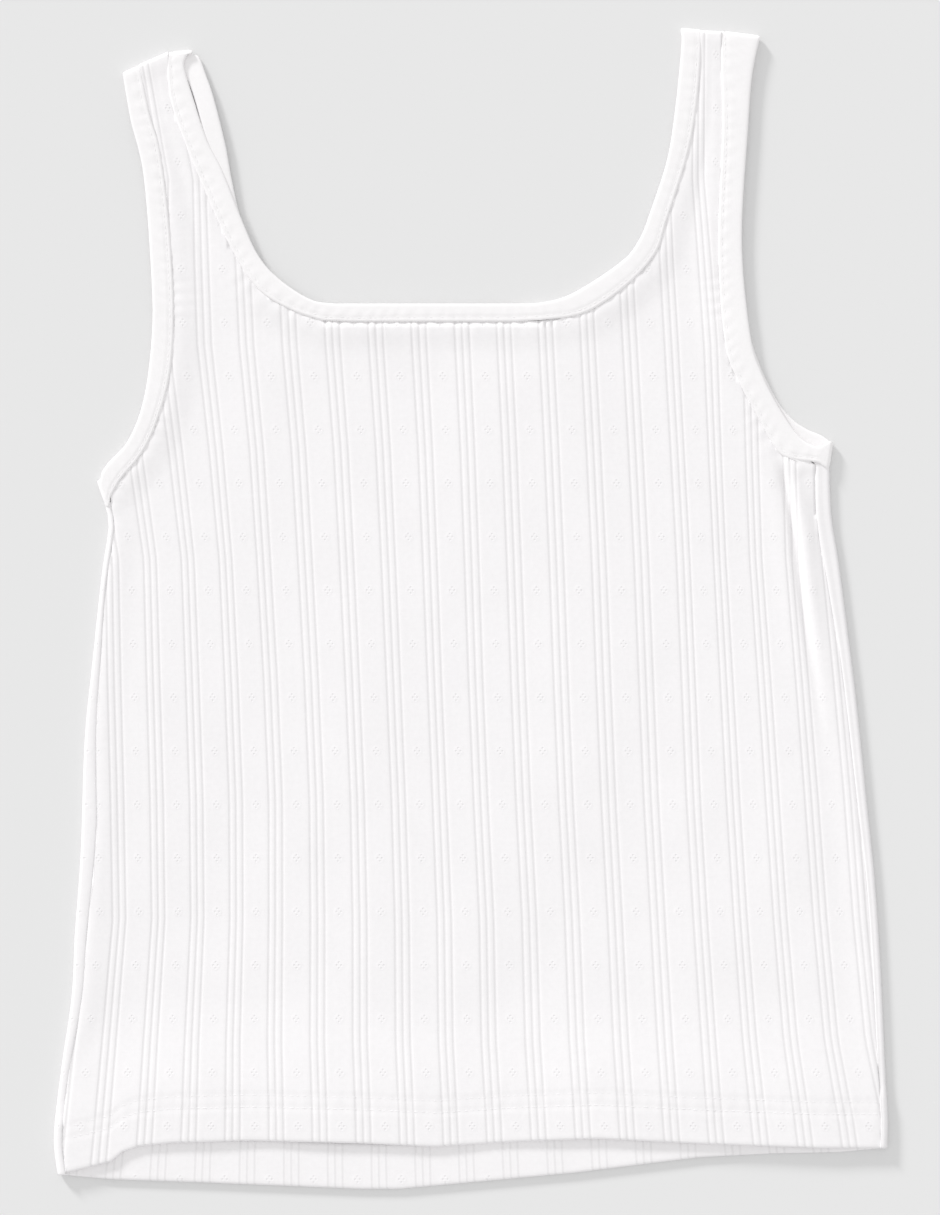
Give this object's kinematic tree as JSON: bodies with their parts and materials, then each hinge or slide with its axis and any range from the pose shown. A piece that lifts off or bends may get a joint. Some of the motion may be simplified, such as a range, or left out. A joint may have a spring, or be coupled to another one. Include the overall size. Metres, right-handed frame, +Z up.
{
  "type": "tank top",
  "caption": "White sleeveless tank top in pointelle rib knit, with a wide scoop neck and bound neck and armholes, laid flat with its front up.",
  "frame": {"origin": "centre of the garment's outline, on the surface it lies on", "axes": "+Z up out of the front of the garment, +Y from the hem to the straps, +X to the right as seen from above"},
  "size_m": [0.4158, 0.58, 0.0048],
  "materials": {
    "rib_knit": "matte",
    "binding_jersey": "matte"
  },
  "bodies": {
    "root": {"front_panel": "rib_knit", "back_panel": "rib_knit", "neck_binding": "binding_jersey", "armhole_binding_left": "binding_jersey", "armhole_binding_right": "binding_jersey"}
  },
  "joints": []
}
